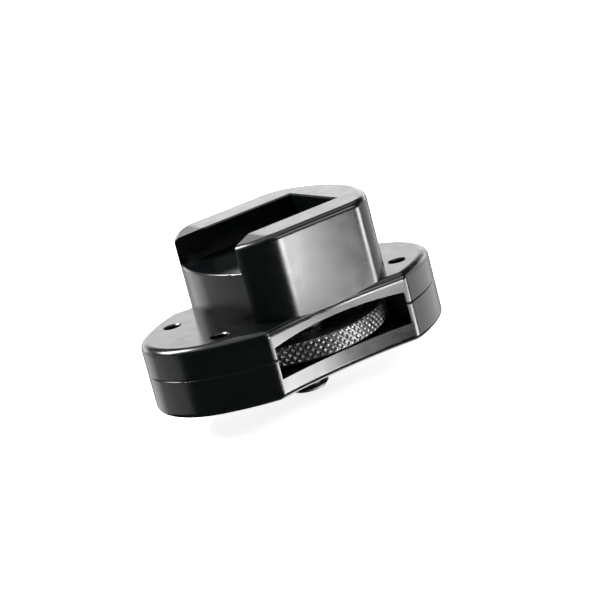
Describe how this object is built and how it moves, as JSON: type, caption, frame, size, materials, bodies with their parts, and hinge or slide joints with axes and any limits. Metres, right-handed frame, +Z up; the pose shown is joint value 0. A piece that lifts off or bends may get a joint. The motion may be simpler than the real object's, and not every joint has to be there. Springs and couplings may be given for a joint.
{
  "type": "quick-mount adapter",
  "caption": "Oval screw-on mount adapter: T-slot receiver tower on a two-shell base with a captive knurled thumbwheel and tripod-thread stud.",
  "frame": {"origin": "centre of the base's flat bottom face, on the axis of the stud and thumbwheel", "axes": "+Z up along the stud's axis towards the receiver, +X along the slot towards its closed end, +Y across the slot"},
  "size_m": [0.049, 0.0282, 0.0279],
  "materials": {
    "shell_plastic": "satin moulded black",
    "wheel_black": "black anodised, diamond knurled rim",
    "stud_black": "black oxide thread",
    "washer_nylon": "natural nylon",
    "screw_black": "black zinc"
  },
  "bodies": {
    "housing": {"upper_shell": "shell_plastic", "lower_shell": "shell_plastic", "lower_thrust_washer": "washer_nylon", "upper_thrust_washer": "washer_nylon", "shell_screw_1": "screw_black", "shell_screw_2": "screw_black", "shell_screw_3": "screw_black", "shell_screw_4": "screw_black"},
    "wheel": {"thumbwheel": "wheel_black", "mounting_stud": "stud_black"}
  },
  "joints": [
    {"name": "wheel_spin", "type": "hinge", "parent": "housing", "child": "wheel", "pos_m": [0, 0, 0.005], "axis": [0, 0, 1], "continuous": true}
  ]
}
